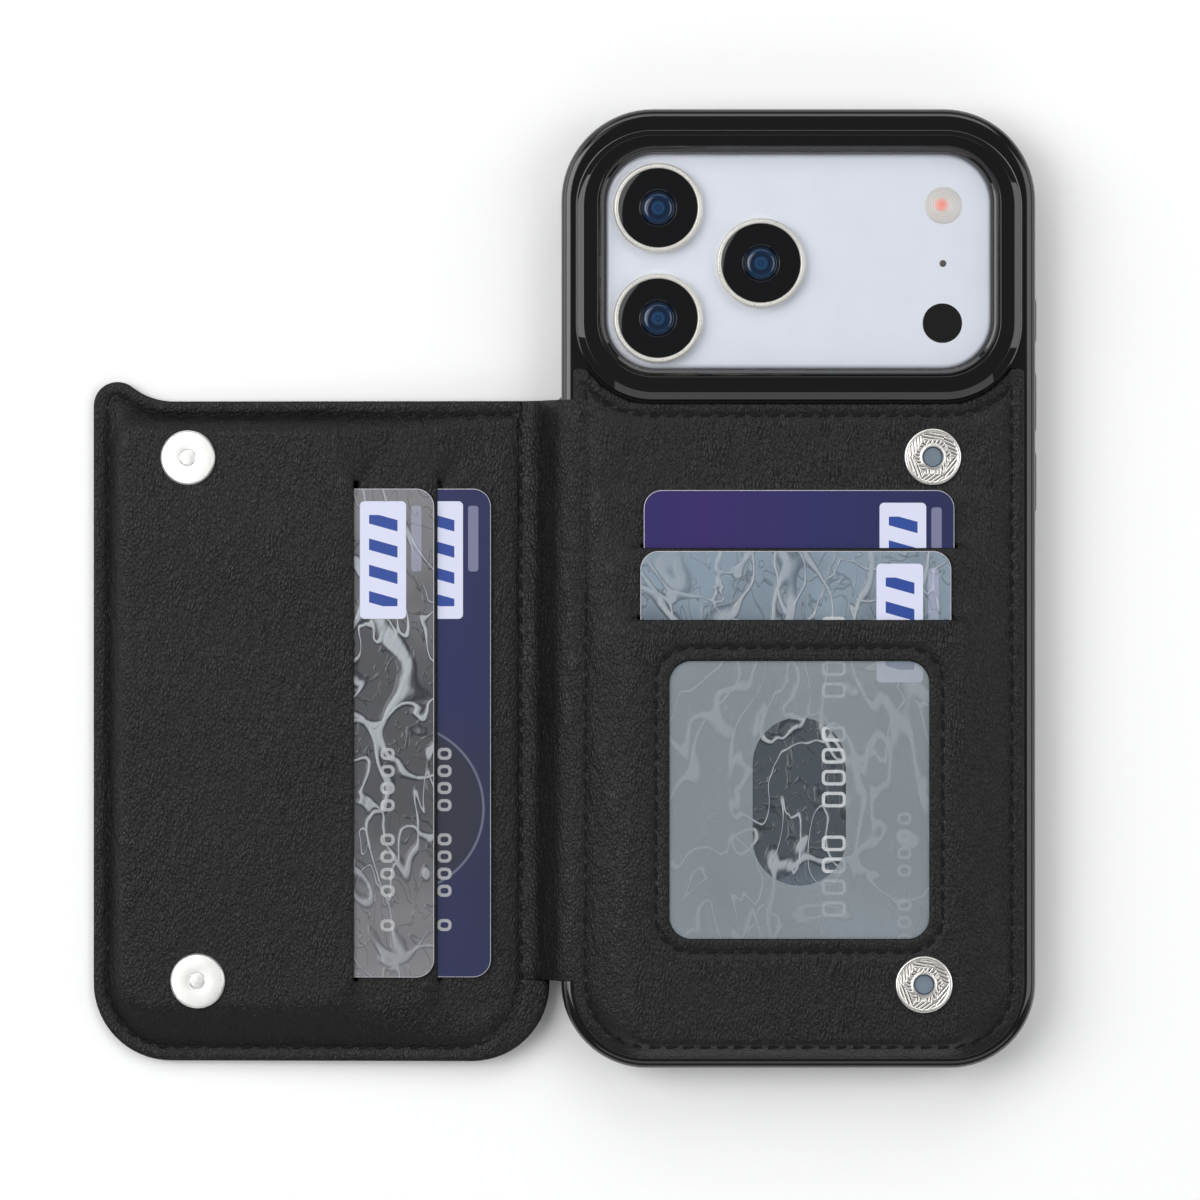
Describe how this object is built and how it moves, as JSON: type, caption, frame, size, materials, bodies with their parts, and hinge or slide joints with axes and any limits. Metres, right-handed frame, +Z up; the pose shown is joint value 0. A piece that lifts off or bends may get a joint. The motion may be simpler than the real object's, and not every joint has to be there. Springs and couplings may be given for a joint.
{
  "type": "phone wallet case",
  "caption": "Glossy black bumper case for a large phone, with a stitched leather card panel, an ID window, magnetic snaps and a hinged leather card flap.",
  "frame": {"origin": "on the table under the middle of the opened-out case, in its bounding box's bottom centre", "axes": "+X from the flap to the shell, +Y to the phone's top end, +Z up, from the screen side to the leather side"},
  "size_m": [0.1654, 0.1674, 0.0169],
  "materials": {
    "shell_gloss": "high-gloss black TPU with a polished bright edge",
    "guard_gloss": "high-gloss black with a bevelled rim",
    "board": "stiffening board",
    "back_leather": "black pebbled synthetic leather, semi-matt",
    "flap_leather": "black pebbled synthetic leather, semi-matt",
    "window_film": "frosted clear film",
    "thread": "black twisted polyester thread",
    "snap_nickel": "satin nickel plating",
    "magnet": "bluish-grey plated magnet",
    "rivet_steel": "nickel-plated steel",
    "washer_steel": "plain steel",
    "pad_gloss": "high-gloss black",
    "phone_metal": "fine-blasted silver",
    "plateau_metal": "fine-blasted silver white",
    "screen_glass": "black screen glass",
    "back_glass": "satin white glass",
    "lens_metal": "polished champagne silver",
    "lens_glass": "black lens cover glass",
    "flash_lens": "ribbed clear flash cover",
    "sensor_glass": "black sensor window",
    "mic_mesh": "dark fine mesh",
    "card_navy": "navy to indigo printed PVC",
    "card_grey": "blue-grey printed PVC"
  },
  "bodies": {
    "case": {"back_board": "board", "back_card_divider": "back_leather", "back_pocket_leather": "back_leather", "back_snap_cap_lower": "snap_nickel", "back_snap_cap_upper": "snap_nickel", "back_snap_magnets": "magnet", "back_snap_rivets": "rivet_steel", "back_snap_washers": "washer_steel", "back_thread": "thread", "camera_guard": "guard_gloss", "id_window_film": "window_film", "tpu_shell": "shell_gloss", "window_thread": "thread"},
    "phone": {"lens_glass_lower": "lens_glass", "lens_glass_middle": "lens_glass", "lens_glass_upper": "lens_glass", "lens_ring_lower": "lens_metal", "lens_ring_middle": "lens_metal", "lens_ring_upper": "lens_metal", "phone_back_glass": "back_glass", "phone_camera_plateau": "plateau_metal", "phone_depth_sensor": "sensor_glass", "phone_flash": "flash_lens", "phone_frame": "phone_metal", "phone_microphone": "mic_mesh", "phone_screen_glass": "screen_glass"},
    "spine": {"spine_leather": "flap_leather", "spine_lining": "flap_leather"},
    "flap": {"flap_board": "board", "flap_card_divider": "flap_leather", "flap_outer_leather": "flap_leather", "flap_pocket_leather": "flap_leather", "flap_snap_disc_lower": "snap_nickel", "flap_snap_disc_upper": "snap_nickel", "flap_snap_rivets": "rivet_steel", "flap_snap_washers": "washer_steel", "flap_thread": "thread"},
    "card_back_lower": {"card_back_lower": "card_grey"},
    "card_back_upper": {"card_back_upper": "card_navy"},
    "card_flap_inner": {"card_flap_inner": "card_navy"},
    "card_flap_outer": {"card_flap_outer": "card_grey"},
    "pad_action": {"pad_action": "pad_gloss"},
    "pad_capture": {"pad_capture": "pad_gloss"},
    "pad_power": {"pad_power": "pad_gloss"},
    "pad_volume_down": {"pad_volume_down": "pad_gloss"},
    "pad_volume_up": {"pad_volume_up": "pad_gloss"}
  },
  "joints": [
    {"name": "spine_fold", "type": "hinge", "parent": "case", "child": "spine", "pos_m": [0.00012, 0, 0.0121], "axis": [0, 1, 0], "range_deg": [-4, 170]},
    {"name": "flap_fold", "type": "hinge", "parent": "spine", "child": "flap", "pos_m": [-0.00507, 0, 0.00311], "axis": [0, 1, 0], "range_deg": [-85, 12.11]},
    {"name": "card_back_upper_slide", "type": "slide", "parent": "case", "child": "card_back_upper", "axis": [0, 1, 0], "range_m": [0, 0.0151]},
    {"name": "card_back_lower_slide", "type": "slide", "parent": "case", "child": "card_back_lower", "axis": [0, 1, 0], "range_m": [0, 0.0257]},
    {"name": "card_flap_inner_slide", "type": "slide", "parent": "flap", "child": "card_flap_inner", "axis": [0.9993, 0, 0.0368], "range_m": [0, 0.0039]},
    {"name": "card_flap_outer_slide", "type": "slide", "parent": "flap", "child": "card_flap_outer", "axis": [0.9993, 0, 0.0368], "range_m": [0, 0.0153]},
    {"name": "phone_release", "type": "slide", "parent": "case", "child": "phone", "axis": [0, 0, -1], "range_m": [0, 0.016]},
    {"name": "pad_action_press", "type": "slide", "parent": "case", "child": "pad_action", "axis": [-1, 0, 0], "range_m": [0, 0.0004], "stiffness_N_per_m": 2000},
    {"name": "pad_volume_up_press", "type": "slide", "parent": "case", "child": "pad_volume_up", "axis": [-1, 0, 0], "range_m": [0, 0.0004], "stiffness_N_per_m": 2000},
    {"name": "pad_volume_down_press", "type": "slide", "parent": "case", "child": "pad_volume_down", "axis": [-1, 0, 0], "range_m": [0, 0.0004], "stiffness_N_per_m": 2000},
    {"name": "pad_power_press", "type": "slide", "parent": "case", "child": "pad_power", "axis": [1, 0, 0], "range_m": [0, 0.0004], "stiffness_N_per_m": 2000},
    {"name": "pad_capture_press", "type": "slide", "parent": "case", "child": "pad_capture", "axis": [1, 0, 0], "range_m": [0, 0.0004], "stiffness_N_per_m": 2000}
  ]
}
